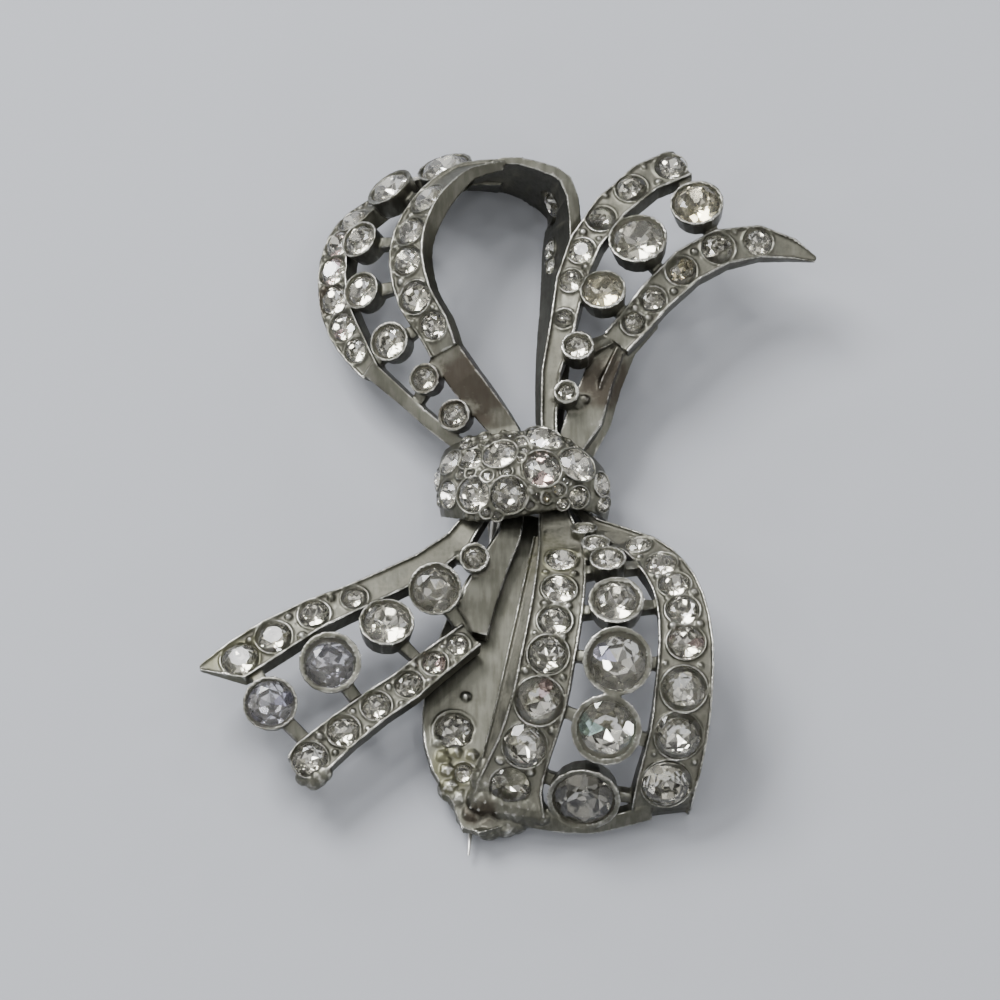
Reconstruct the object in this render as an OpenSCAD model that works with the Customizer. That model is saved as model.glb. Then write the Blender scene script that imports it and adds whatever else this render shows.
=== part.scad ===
// Ribbon bow brooch: two loops, two tails and a knot, cast in grey metal and set with clear stones.
// Each ribbon is a pair of rails with a row of collets between them, and lies on its back on z = 0.

/* [View] */
// Height angle of the view in which the ribbons' places were measured, in degrees
view_tilt = 63; // [60:1:66]
// Distance from the measured view's middle to the part's middle, left to right
centre_x = 0.1; // [-1:0.05:1]
// Distance from the measured view's middle to the part's middle, front to back
centre_y = -3.8; // [-5:0.05:-3]

/* [Ribbons] */
// Width of the thin raised lip along each side of a rail
lip_w = 0.24; // [0.2:0.01:0.28]
// Height of the lip over the rail's floor
lip_h = 0.3; // [0.2:0.05:0.4]
// Side of the small square bars that join the collets to the rails
bar = 1.1; // [0.9:0.1:1.3]

/* [Stones] */
// Gap between a stone and its seat
seat_gap = 0.07; // [0.05:0.01:0.1]
// Width of the thinnest collets' walls
collet_wall = 0.38; // [0.34:0.01:0.42]
// Height of a collet, from its foot to its rim
collet_h = 2.2; // [1.8:0.1:2.4]
// Width of a stone's table, as a share of its diameter
table_share = 0.56; // [0.5:0.01:0.62]
// Height of a stone's crown, as a share of its diameter
crown_share = 0.17; // [0.14:0.01:0.2]
// Depth of a stone below its girdle, as a share of its diameter
pavilion_share = 0.3; // [0.28:0.01:0.32]

/* [Knot] */
// Half of the knot's width, left to right
knot_rx = 7.9; // [7.6:0.1:8.1]
// Height of the knot's arch
knot_rz = 5.2; // [5:0.1:5.4]
// Thickness of the knot's wall
knot_wall = 1.3; // [1.1:0.1:1.5]

/* [Pin] */
// Radius of the pin's stem
stem_r = 0.45; // [0.4:0.01:0.5]
// Height of the stem's middle over the surface that the brooch lies on
stem_z = 0.95; // [0.9:0.05:1]

/* [Hidden] */

// A row of a ribbon's table is one station of its middle line:
// across and up in the measured view, height, width, thickness, and where its face looks:
// the direction round the vertical and the angle over the level, in degrees.

// Inner rail of the upper loop, from its crossbar round to the top
UPPER_LOOP_INNER = [
    [-6.1, 11.3, 9.0, 2.8, 1.8, 214, 58],
    [-7.1, 13.6, 9.4, 3.3, 1.8, 207, 58],
    [-8.7, 16.2, 9.7, 3.6, 1.8, 197, 58],
    [-9.5, 19.6, 9.9, 3.7, 1.8, 184, 57],
    [-9.2, 22.4, 10.0, 3.7, 1.8, 170, 54],
    [-7.9, 25.1, 10.0, 3.7, 1.8, 153, 47],
    [-6.2, 27.0, 9.9, 3.4, 1.6, 136, 46],
    [-4.0, 28.4, 9.6, 2.8, 1.2, 115, 44],
    [-0.8, 28.9, 9.2, 2.0, 0.9, 92, 36]
];
// Outer rail of the upper loop, from its end near the knot round to the top
UPPER_LOOP_OUTER = [
    [-12.7, 9.4, 5.3, 2.0, 1.6, 214, 56],
    [-14.6, 12.2, 5.1, 3.0, 1.8, 206, 56],
    [-15.9, 15.0, 5.1, 3.2, 1.8, 197, 55],
    [-16.3, 18.2, 5.2, 3.2, 1.8, 188, 55],
    [-15.9, 21.0, 5.1, 3.2, 1.8, 174, 52],
    [-14.8, 23.2, 4.9, 3.2, 1.8, 162, 48],
    [-12.6, 25.1, 4.5, 3.2, 1.8, 148, 42],
    [-9.2, 27.2, 3.6, 3.2, 1.6, 134, 35],
    [-5.0, 27.7, 2.5, 3.2, 1.2, 113, 24],
    [-0.8, 27.3, 2.0, 3.2, 0.9, 92, 16]
];
// Plain band of the upper loop, from the top down its right side into the knot
UPPER_LOOP_BAND = [
    [-4.9, 27.4, 5.0, 10.0, 0.7, 113, 24],
    [-0.6, 28.0, 5.0, 10.2, 0.7, 90, 14],
    [2.9, 27.0, 4.9, 9.8, 0.9, 60, 6],
    [5.1, 25.4, 4.7, 9.0, 1.2, 32, -5],
    [5.3, 21.8, 4.5, 7.2, 1.2, 8, -20],
    [5.1, 17.1, 4.4, 5.6, 1.2, 0, -28],
    [4.5, 10.8, 4.0, 4.8, 1.2, -3, -30],
    [4.2, 6.3, 3.4, 3.6, 1.2, -3, -32],
    [4.1, 3.1, 3.0, 2.8, 1.2, -3, -32],
    [4.1, 0.6, 2.9, 2.6, 1.2, -3, -32]
];
// Plain strip that carries the upper loop's inner rail on into the knot
UPPER_LOOP_STRIP = [
    [-6.2, 11.6, 8.5, 2.9, 1.6, 214, 60],
    [-4.2, 8.7, 8.1, 3.0, 1.6, 216, 62],
    [-2.2, 6.2, 7.4, 2.8, 1.6, 219, 64],
    [-0.4, 3.9, 7.0, 2.5, 1.6, 222, 72],
    [0.2, 2.6, 7.1, 2.2, 1.6, 224, 80],
    [1.0, 1.2, 7.1, 2.0, 1.6, 224, 84]
];
// Thin edge that carries the upper loop's outer rail on into the knot
UPPER_LOOP_EDGE = [
    [-12.9, 9.8, 5.3, 1.6, 1.4, 214, 56],
    [-9.6, 6.9, 5.4, 1.3, 1.4, 218, 58],
    [-6.5, 4.2, 5.3, 1.3, 1.4, 222, 60],
    [-3.5, 2.0, 4.9, 1.2, 1.2, 224, 68],
    [-2.7, 1.0, 4.8, 1.1, 1.1, 224, 74]
];
// Left rail of the upper tail, from the knot out to its blunt end
UPPER_TAIL_LEFT = [
    [3.6, 1.6, 6.9, 1.5, 1.6, -90, 88],
    [3.5, 5.4, 7.6, 1.5, 1.6, -90, 86],
    [3.7, 9.4, 8.5, 1.8, 1.6, -110, 84],
    [4.7, 13.4, 9.2, 2.4, 1.7, 160, 86],
    [5.5, 17.8, 9.8, 2.8, 1.7, 160, 82],
    [6.9, 21.4, 10.1, 3.1, 1.7, 145, 80],
    [9.2, 24.6, 10.2, 3.3, 1.7, 135, 80],
    [12.4, 27.3, 10.1, 3.5, 1.7, 130, 80],
    [15.8, 28.8, 9.7, 3.6, 1.7, 120, 80]
];
// Right rail of the upper tail, from its crossbar out to its point
UPPER_TAIL_RIGHT = [
    [9.6, 12.1, 8.6, 2.8, 1.8, -45, 84],
    [11.4, 14.1, 9.0, 3.0, 1.8, -45, 84],
    [13.3, 16.4, 9.2, 3.2, 1.8, -50, 84],
    [16.2, 19.2, 9.4, 3.5, 1.8, -58, 84],
    [19.3, 20.9, 9.2, 3.6, 1.8, -70, 84],
    [22.8, 21.4, 8.7, 3.2, 1.6, -85, 82],
    [25.8, 20.7, 8.1, 2.0, 1.4, -100, 80],
    [27.9, 19.7, 7.6, 0.5, 1.0, -105, 80]
];
// Plain strip that carries the upper tail's right rail on into the knot
UPPER_TAIL_STRIP = [
    [13.1, 14.0, 7.7, 1.6, 1.4, -40, 46],
    [10.7, 11.6, 7.3, 2.2, 1.4, -36, 44],
    [9.2, 8.2, 6.8, 2.5, 1.4, -26, 44],
    [8.2, 4.9, 5.9, 2.4, 1.4, -16, 52],
    [7.0, 2.4, 5.1, 1.8, 1.2, -14, 62],
    [6.3, 0.8, 4.9, 1.6, 1.1, -14, 70]
];
// Sunk web behind the upper tail's last collets
UPPER_TAIL_WEB = [
    [8.9, 11.6, 7.7, 3.0, 1.1, -60, 84],
    [7.9, 8.6, 7.3, 2.8, 1.1, -60, 86],
    [6.7, 5.2, 6.9, 3.4, 1.1, -80, 88],
    [5.3, 2.5, 6.2, 2.4, 1.1, -90, 88],
    [4.9, 1.2, 6.0, 2.0, 1.1, -90, 88]
];
// Upper rail of the lower tail, from the knot out to its point
LOWER_TAIL_UPPER = [
    [-2.4, -2.6, 5.9, 1.8, 1.5, 120, 84],
    [-4.7, -5.8, 6.0, 2.5, 1.5, 120, 84],
    [-7.6, -7.9, 6.6, 2.8, 1.6, 118, 84],
    [-10.6, -9.3, 6.9, 2.8, 1.7, 118, 84],
    [-13.9, -10.8, 7.1, 2.9, 1.8, 120, 84],
    [-17.5, -12.3, 7.1, 3.3, 1.8, 120, 84],
    [-21.1, -14.3, 7.0, 3.9, 1.8, 122, 84],
    [-24.4, -16.4, 6.8, 4.1, 1.6, 125, 84],
    [-27.7, -17.1, 6.4, 0.5, 1.0, 128, 84]
];
// Lower rail of the lower tail, from its crossbar out to its blunt end
LOWER_TAIL_LOWER = [
    [-3.4, -14.1, 6.3, 2.7, 1.8, -52, 88],
    [-4.7, -15.1, 6.4, 2.8, 1.8, -52, 86],
    [-6.7, -16.6, 6.5, 3.0, 1.8, -52, 86],
    [-9.0, -18.5, 6.5, 3.1, 1.8, -52, 86],
    [-11.9, -20.4, 6.4, 3.2, 1.8, -50, 86],
    [-14.8, -22.6, 6.2, 3.4, 1.8, -45, 86],
    [-17.6, -25.0, 5.8, 3.8, 1.8, -40, 84],
    [-18.5, -26.0, 5.6, 3.4, 1.6, -38, 84]
];
// Plain strip that carries the lower tail's lower rail on into the knot
LOWER_TAIL_STRIP = [
    [-3.6, -13.9, 5.7, 3.3, 1.4, -50, 86],
    [-2.6, -10.6, 5.8, 3.2, 1.4, -40, 82],
    [-1.3, -7.8, 6.0, 2.6, 1.4, -35, 80],
    [0.0, -5.3, 6.0, 2.1, 1.4, -30, 80],
    [0.4, -3.2, 5.9, 1.9, 1.4, -30, 80]
];
// Left rail of the lower loop, down its front to the bend
LOWER_LOOP_LEFT = [
    [3.7, -2.0, 6.2, 2.2, 1.6, -90, 110],
    [4.2, -4.4, 7.2, 3.4, 1.6, -90, 122],
    [4.6, -6.2, 8.8, 4.2, 1.8, -90, 118],
    [4.5, -8.9, 10.4, 4.6, 1.8, -93, 104],
    [4.0, -12.6, 11.2, 4.8, 1.8, -96, 88],
    [3.3, -16.2, 11.0, 4.9, 1.8, -98, 76],
    [2.5, -20.2, 9.7, 5.0, 1.8, -100, 64],
    [1.2, -24.2, 7.4, 5.0, 1.8, -102, 50],
    [0.0, -27.6, 4.9, 5.8, 1.7, -100, 36],
    [-0.3, -30.0, 3.6, 6.8, 1.4, -98, 24]
];
// Grooved outer side of the left rail
LOWER_LOOP_SIDE = [
    [2.6, -5.2, 7.1, 1.3, 1.2, 190, 60],
    [1.8, -9.0, 9.4, 1.7, 1.2, 186, 52],
    [1.1, -12.6, 10.3, 2.0, 1.2, 184, 50],
    [0.3, -16.2, 10.0, 2.1, 1.2, 182, 48],
    [-0.6, -20.0, 8.8, 2.1, 1.2, 182, 46],
    [-1.7, -23.9, 6.3, 1.9, 1.2, 186, 44],
    [-2.5, -27.0, 3.9, 1.7, 1.2, 190, 44]
];
// Plain bend at the bottom, from the back band forward under the left rail to a thin upright edge
LOWER_LOOP_BEND = [
    [-2.9, -26.6, 2.9, 5.6, 1.0, -100, 86],
    [-2.3, -28.6, 2.7, 5.8, 0.9, -98, 88],
    [-1.3, -30.4, 2.5, 6.4, 0.8, -96, 92],
    [-0.9, -31.2, 2.6, 6.0, 0.8, -94, 112]
];
// Back band of the lower loop, from the bend up into the knot; its upper face is seen
LOWER_LOOP_BACK = [
    [-2.5, -28.0, 2.9, 5.6, 1.1, -100, 87],
    [-4.2, -25.2, 3.2, 6.0, 1.4, -100, 88],
    [-4.5, -21.6, 3.4, 6.8, 1.4, -110, 90],
    [-3.5, -16.4, 3.8, 6.8, 1.2, -110, 88],
    [-1.6, -11.0, 4.2, 6.0, 1.1, -110, 86],
    [0.4, -6.8, 4.1, 4.8, 1.1, -100, 86],
    [1.4, -3.4, 3.9, 3.4, 1.1, -90, 88]
];
// Right rail of the lower loop, down its front to the surface
LOWER_LOOP_RIGHT = [
    [5.6, -2.4, 4.8, 1.1, 1.3, -84, 100],
    [7.5, -4.2, 5.5, 1.5, 1.4, -82, 112],
    [11.6, -6.1, 8.3, 3.4, 1.6, -80, 120],
    [13.8, -8.2, 9.8, 4.0, 1.8, -82, 110],
    [15.1, -10.8, 10.9, 4.4, 1.8, -82, 98],
    [15.6, -14.5, 11.3, 4.9, 1.8, -82, 84],
    [15.4, -18.8, 10.5, 5.2, 1.8, -82, 70],
    [14.9, -23.1, 8.5, 5.3, 1.8, -82, 58],
    [13.9, -27.4, 5.4, 5.5, 1.8, -82, 42],
    [13.5, -29.6, 2.8, 5.6, 1.7, -82, 16],
    [13.3, -30.6, 0.0, 5.4, 1.5, -82, -8]
];
// Lip along the bottom of the lower loop, under its last collet
LOWER_LOOP_LIP = [
    [1.4, -30.6, 2.6, 1.6, 1.2, -95, 30],
    [4.2, -31.1, 2.5, 1.6, 1.2, -92, 30],
    [7.4, -31.2, 2.4, 1.6, 1.2, -90, 30],
    [10.2, -30.6, 2.3, 1.6, 1.2, -86, 30],
    [12.6, -30.0, 2.2, 1.6, 1.2, -82, 30]
];

// A row of a collet table is one main stone in a setting of its own: across, up, height, diameter,
// what its setting's wall is wider than the thinnest, round, over.
UPPER_LOOP_COLLETS = [
    [-6.0, 28.4, 6.2, 4.2, 0.1, 116, 50],
    [-11.1, 26.5, 7.2, 3.8, 0, 141, 46],
    [-13.8, 21.6, 7.8, 2.9, 0, 170, 56],
    [-13.6, 16.9, 7.9, 2.8, 0, 188, 60],
    [-11.0, 12.2, 8.0, 2.9, 0, 206, 64],
    [-7.8, 8.8, 7.8, 2.1, 0, 215, 66],
    [-5.1, 5.5, 7.4, 2.2, 0, 220, 68]
];
UPPER_TAIL_COLLETS = [
    [17.0, 24.9, 10.6, 4.0, 0.05, 125, 82],
    [11.6, 21.6, 10.9, 4.4, 0.1, 125, 80],
    [8.4, 16.9, 10.6, 3.4, 0, 130, 82],
    [6.1, 11.8, 10.0, 2.2, 0, 130, 84],
    [5.1, 7.6, 9.2, 1.5, 0, -100, 84]
];
LOWER_TAIL_COLLETS = [
    [-21.3, -20.2, 7.7, 4.0, 0.05, -100, 76],
    [-16.0, -16.6, 8.2, 4.2, 0.3, -100, 76],
    [-11.0, -13.0, 7.9, 4.0, 0.1, -100, 98],
    [-6.7, -10.1, 8.0, 3.9, 0.05, -100, 72],
    [-3.2, -7.3, 7.7, 1.9, 0, -100, 76]
];
LOWER_LOOP_COLLETS = [
    [6.6, -4.6, 8.3, 1.6, 0, -86, 130],
    [7.6, -5.9, 10.2, 1.8, 0, -86, 122],
    [8.7, -7.3, 11.5, 2.5, 0, -86, 114],
    [9.4, -11.0, 12.7, 3.7, 0.25, -86, 98],
    [9.5, -16.4, 12.2, 4.8, 0.3, -88, 70],
    [8.5, -22.5, 9.7, 4.7, 0.4, -92, 60],
    [6.5, -28.8, 5.0, 5.0, 0.4, -94, 28]
];
// A row of a pave table is one stone in a rail: its place along the rail, in stations, and its diameter.
UPPER_LOOP_INNER_STONES = [
    [1.0, 2.4],
    [2.0, 2.7],
    [3.0, 2.8],
    [3.98, 2.8],
    [5.15, 2.9]
];
UPPER_LOOP_OUTER_STONES = [
    [0.75, 2.0],
    [1.5, 2.4],
    [2.35, 2.5],
    [3.2, 2.5],
    [4.15, 2.5],
    [5.2, 2.5],
    [6.25, 2.5],
    [7.15, 2.5]
];
UPPER_TAIL_LEFT_STONES = [
    [3.2, 1.7],
    [4.0, 2.0],
    [4.75, 2.3],
    [5.65, 2.6],
    [6.6, 2.7],
    [7.6, 2.7]
];
UPPER_TAIL_RIGHT_STONES = [
    [0.9, 2.0],
    [1.85, 2.3],
    [2.8, 2.6],
    [3.9, 2.8],
    [4.95, 2.5]
];
LOWER_TAIL_UPPER_STONES = [
    [4.0, 2.2],
    [5.0, 2.6],
    [6.0, 3.0],
    [6.9, 3.2]
];
LOWER_TAIL_LOWER_STONES = [
    [0.95, 1.9],
    [2.0, 2.2],
    [3.0, 2.4],
    [4.0, 2.5],
    [5.0, 2.7],
    [6.1, 3.0]
];
LOWER_LOOP_LEFT_STONES = [
    [2.45, 2.4],
    [3.3, 2.6],
    [4.05, 2.6],
    [4.9, 3.1],
    [5.95, 3.8],
    [6.95, 3.5],
    [8.05, 3.2]
];
LOWER_LOOP_RIGHT_STONES = [
    [1.95, 2.0],
    [2.8, 2.5],
    [3.55, 2.5],
    [4.3, 2.6],
    [5.05, 2.9],
    [6.02, 3.7],
    [7.0, 3.9],
    [8.02, 3.9]
];
// Stones on a plain band: place along it, shift across it, and diameter
UPPER_LOOP_BAND_STONES = [
    [2.95, -0.6, 2.6],
    [4.2, -1.4, 2.1],
    [4.55, -1.1, 1.6]
];
LOWER_LOOP_BACK_STONES = [
    [0.67, -0.5, 1.7],
    [1.72, -0.45, 3.1]
];

// Front and back edge of the knot: angle round its arch, front, back
KNOT_EDGES = [
    [-98, -5.4, 0.0],
    [-65, -6.9, 0.4],
    [-32, -8.3, 0.3],
    [0, -8.0, 0.5],
    [32, -6.9, -0.2],
    [65, -6.6, -1.3],
    [98, -6.2, -2.0]
];
// Stones of the knot: angle round its arch, place from front (-1) to back (1), and diameter
KNOT_STONES = [
    [-58, 0.35, 2.4],
    [-36, -0.5, 2.6],
    [-16, 0.35, 2.8],
    [-10, -0.6, 2.7],
    [12, -0.1, 3.0],
    [38, 0.15, 3.0],
    [14, 0.82, 2.7]
];
KNOT_PAVE = [
    [-62, -0.5, 1.9],
    [-38, 0.35, 2.2],
    [-82, 0.0, 1.8],
    [40, -0.75, 1.5],
    [64, -0.1, 1.7]
];
// Middle of the knot's arch in the measured view, and its height
knot_x = 1.25;
knot_z = 4.3;
// Fall of the knot's outside towards its front and back edge
knot_fall = 1.5;
// Angle between the knot's drawn stations
knot_step = 14;

// Depth of a stone's girdle below the rim of its collet
rim_lip = 0.3;
// Side count of a stone
stone_sides = 8;
// Longest bar that joins a collet to a rail
bar_reach = 5.0;
// Place of the pin's tip and of its hinge, from left to right and from front to back
tip_at = [-3.7, -38.4];
hinge_at = [-1.2, -3.4];
catch_y = -29.8;

METAL = [0.56, 0.56, 0.53];
GLASS = [0.86, 0.88, 0.90, 0.8];

CASTINGS = ["upper_loop", "upper_tail", "knot", "lower_tail", "lower_loop", "pin"];
FIELDS = ["upper_loop_pave", "upper_tail_pave", "knot_pave", "lower_tail_pave", "lower_loop_pave"];
function numbered(name, rows) = [for (i = [1:len(rows)]) str(name, i)];

// A point of the measured view, with its height, as a point of the part
function plan(p) = [p[0], (p[1] - p[2] * cos(view_tilt)) / sin(view_tilt), p[2]];
function unit(v) = v / norm(v);
function looks(around, over) = [cos(over) * cos(around), cos(over) * sin(around), sin(over)];
function around_of(v) = atan2(v[1], v[0]);
function over_of(v) = asin(v[2] / norm(v));

// Smooth curve through the rows of a table, t in stations from its first row
function row_at(rows, i) = rows[max(0, min(len(rows) - 1, i))];
function blend(a, b, c, d, f) = (2 * b + (c - a) * f + (2 * a - 5 * b + 4 * c - d) * f * f
    + (3 * b - a - 3 * c + d) * f * f * f) / 2;
function smooth(rows, t) = let (i = min(len(rows) - 2, max(0, floor(t))))
    blend(row_at(rows, i - 1), rows[i], rows[i + 1], row_at(rows, i + 2), t - i);

// Frame of a ribbon at t: its middle, the way across it and the way its face looks
function place(rows, t) = plan(smooth(rows, t));
function along(rows, t) = unit(place(rows, min(t + 0.05, len(rows) - 1)) - place(rows, max(t - 0.05, 0)));
function across(rows, t) = let (r = smooth(rows, t)) unit(cross(along(rows, t), looks(r[5], r[6])));
function face_of(rows, t) = cross(across(rows, t), along(rows, t));

// Section of a rail with its two lips, and of a plain strip, as [across, depth]
function rail_section(w, thick) = [
    [-w / 2, -thick], [-w / 2, 0], [-w / 2 + lip_w, 0], [-w / 2 + lip_w, -lip_h],
    [w / 2 - lip_w, -lip_h], [w / 2 - lip_w, 0], [w / 2, 0], [w / 2, -thick]
];
function strip_section(w, thick) = [[-w / 2, -thick], [-w / 2, 0], [w / 2, 0], [w / 2, -thick]];
function section(w, thick, lips) = lips && w > 4 * lip_w ? rail_section(w, thick)
    : lips ? rail_section(4 * lip_w, thick) * (w / 4 / lip_w)
    : strip_section(w, thick);

// A ribbon swept along its table, with a number of drawn stations to each row
module ribbon(rows, fine, lips = false) {
    steps = fine * (len(rows) - 1);
    rings = [for (i = [0:steps]) let (
        t = i / fine,
        r = smooth(rows, t),
        p = place(rows, t),
        a = across(rows, t),
        n = face_of(rows, t)
    ) [for (q = section(r[3], r[4], lips)) p + a * q[0] + n * q[1]]];
    m = len(rings[0]);
    start = m == 8 ? [[0, 1, 2, 3], [0, 3, 4, 7], [4, 5, 6, 7]] : [[0, 1, 2, 3]];
    last = steps * m;
    polyhedron(
        points = [for (ring = rings) each ring],
        faces = concat(
            start,
            [for (f = start) [for (k = [len(f) - 1:-1:0]) last + f[k]]],
            [for (i = [0:steps - 1], k = [0:m - 1]) each [
                [i * m + k, (i + 1) * m + k, i * m + (k + 1) % m],
                [i * m + (k + 1) % m, (i + 1) * m + k, (i + 1) * m + (k + 1) % m]
            ]]
        )
    );
}

// Puts its child at p with its +Z along n
module set_on(p, n) {
    translate(p) rotate([0, 90 - over_of(n), around_of(n)]) children();
}

// A cut stone, its girdle at z = 0: a flat table, eight crown facets and eight below
module stone(d) {
    cylinder(h = crown_share * d, r1 = d / 2, r2 = table_share * d / 2, $fn = stone_sides);
    mirror([0, 0, 1]) cylinder(h = pavilion_share * d, r1 = d / 2, r2 = 0, $fn = stone_sides);
}

// The hollow that a stone sits in, open upwards
module seat(d, top) {
    r = d / 2 + seat_gap;
    cylinder(h = top, r = r, $fn = stone_sides);
    mirror([0, 0, 1]) cylinder(h = 2 * pavilion_share * r, r1 = r, r2 = 0, $fn = stone_sides);
}

function collet_at(c) = plan(c);
function collet_face(c) = looks(c[5], c[6]);
function collet_r(c) = c[3] / 2 + seat_gap + collet_wall + c[4];

// The setting of one main stone, its rim at z = 0
module collet(r) {
    mirror([0, 0, 1]) cylinder(h = collet_h, r1 = r, r2 = 0.86 * r, $fn = r < 1.8 ? 12 : 16);
}

// Stations of a ribbon, and the one nearest to a point
function stations(rows) = [for (i = [0:4 * (len(rows) - 1)]) i / 4];
function nearest(rows, p) = let (
    far = [for (t = stations(rows)) norm(place(rows, t) - p)],
    least = min(far)
) [for (i = [0:len(far) - 1]) if (far[i] == least) i / 4][0];

// Bars from a collet's foot to the rails within reach, and to the plain strips where it has no two rails
function end_of(rows, foot) = let (
    t = nearest(rows, foot),
    r = smooth(rows, t),
    side = (foot - place(rows, t)) * across(rows, t) > 0 ? 1 : -1
) place(rows, t) + across(rows, t) * side * (r[3] / 2 - min(0.6, r[3] / 3)) - face_of(rows, t) * r[4] * 0.55;
function in_reach(ribbons, foot) = [for (rows = ribbons) if (norm(end_of(rows, foot) - foot) < bar_reach) rows];
module bars(c, rails, strips) {
    n = collet_face(c);
    foot = collet_at(c) - n * (collet_h - bar / 2 - 0.15);
    near = in_reach(rails, foot);
    ends = len(near) > 1 ? near : concat(near, in_reach(strips, foot));
    for (i = [0:len(ends) - 1]) {
        t = nearest(ends[i], foot);
        hull() {
            set_on(foot, n) rotate(i * 25 + 10) cube([bar, bar, bar - i * 0.1], center = true);
            set_on(end_of(ends[i], foot), face_of(ends[i], t)) cube(bar * 0.8, center = true);
        }
    }
}

// One casting: its rails, its plain strips and its collets in one body, with a seat for each stone,
// filed flat where it lies on the surface
module casting(rails, strips, collets, fields, fine, loose = [], band = [], side = 1) {
    color(METAL) difference() {
        union() {
            for (rows = rails) ribbon(rows, fine, true);
            for (rows = strips) ribbon(rows, fine);
            for (c = collets) {
                set_on(collet_at(c), collet_face(c)) collet(collet_r(c));
                bars(c, rails, strips);
            }
        }
        for (c = collets) set_on(collet_at(c) - collet_face(c) * rim_lip, collet_face(c)) seat(c[3], 1);
        for (i = [0:len(fields) - 1], s = fields[i])
            set_on(rail_stone_at(rails[i], s), face_of(rails[i], s[0])) seat(rail_stone_d(rails[i], s), 1);
        for (s = loose) set_on(band_stone_at(band, s, side), face_of(band, s[0]) * side) seat(s[2], 1);
        translate([-50, -50, -10]) cube([100, 100, 10]);
    }
}

function rail_stone_at(rows, s) = place(rows, s[0]) - face_of(rows, s[0]) * lip_h;
function rail_stone_d(rows, s) = min(s[1], smooth(rows, s[0])[3] - 2 * lip_w - 2 * seat_gap - 0.06);
function band_stone_at(rows, s, side) = place(rows, s[0]) + across(rows, s[0]) * s[1]
    - face_of(rows, s[0]) * (side > 0 ? 0.1 : smooth(rows, s[0])[4] - 0.1);

// The stones of a casting's rails, each loose in its seat
module pave(rails, fields, loose = [], band = [], side = 1) {
    color(GLASS) {
        for (i = [0:len(fields) - 1], s = fields[i])
            set_on(rail_stone_at(rails[i], s), face_of(rails[i], s[0])) stone(rail_stone_d(rails[i], s));
        for (s = loose) set_on(band_stone_at(band, s, side), face_of(band, s[0]) * side) stone(s[2]);
    }
}

// The main stone of a collet
module main_stone(c) {
    color(GLASS) set_on(collet_at(c) - collet_face(c) * rim_lip, collet_face(c)) stone(c[3]);
}

UPPER_LOOP_RAILS = [UPPER_LOOP_INNER, UPPER_LOOP_OUTER];
UPPER_LOOP_FIELDS = [UPPER_LOOP_INNER_STONES, UPPER_LOOP_OUTER_STONES];
UPPER_TAIL_RAILS = [UPPER_TAIL_LEFT, UPPER_TAIL_RIGHT];
UPPER_TAIL_FIELDS = [UPPER_TAIL_LEFT_STONES, UPPER_TAIL_RIGHT_STONES];
LOWER_TAIL_RAILS = [LOWER_TAIL_UPPER, LOWER_TAIL_LOWER];
LOWER_TAIL_FIELDS = [LOWER_TAIL_UPPER_STONES, LOWER_TAIL_LOWER_STONES];
LOWER_LOOP_RAILS = [LOWER_LOOP_LEFT, LOWER_LOOP_RIGHT, LOWER_LOOP_SIDE];
LOWER_LOOP_FIELDS = [LOWER_LOOP_LEFT_STONES, LOWER_LOOP_RIGHT_STONES];

module upper_loop() {
    casting(UPPER_LOOP_RAILS, [UPPER_LOOP_BAND, UPPER_LOOP_STRIP, UPPER_LOOP_EDGE], UPPER_LOOP_COLLETS,
        UPPER_LOOP_FIELDS, 2, UPPER_LOOP_BAND_STONES, UPPER_LOOP_BAND, -1);
}

module upper_tail() {
    casting(UPPER_TAIL_RAILS, [UPPER_TAIL_STRIP, UPPER_TAIL_WEB], UPPER_TAIL_COLLETS, UPPER_TAIL_FIELDS, 1);
}

module lower_tail() {
    casting(LOWER_TAIL_RAILS, [LOWER_TAIL_STRIP], LOWER_TAIL_COLLETS, LOWER_TAIL_FIELDS, 1);
}

module lower_loop() {
    casting(LOWER_LOOP_RAILS, [LOWER_LOOP_BEND, LOWER_LOOP_BACK, LOWER_LOOP_LIP], LOWER_LOOP_COLLETS,
        LOWER_LOOP_FIELDS, 2, LOWER_LOOP_BACK_STONES, LOWER_LOOP_BACK);
}

// A point of the knot's outside or inside: angle round its arch, place from front to back
function knot_edge(round) = smooth(KNOT_EDGES, (round - KNOT_EDGES[0][0]) / (KNOT_EDGES[1][0] - KNOT_EDGES[0][0]));
function knot_point(round, b, inside = false) = let (
    e = knot_edge(round),
    rx = inside ? knot_rx - knot_wall : knot_rx,
    rz = inside ? knot_rz - knot_wall - 0.6 : knot_rz,
    fall = inside ? 0 : knot_fall * b * b
) [knot_x + rx * sin(round) - (inside ? 0 : 0.35 * b * b * sin(round)),
    (e[1] + e[2]) / 2 + (e[2] - e[1]) / 2 * b,
    knot_z + rz * cos(round) - fall];
function knot_face(round, b) = unit(cross(
    knot_point(round + 1, b) - knot_point(round - 1, b),
    knot_point(round, b + 0.02) - knot_point(round, b - 0.02)
));

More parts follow.
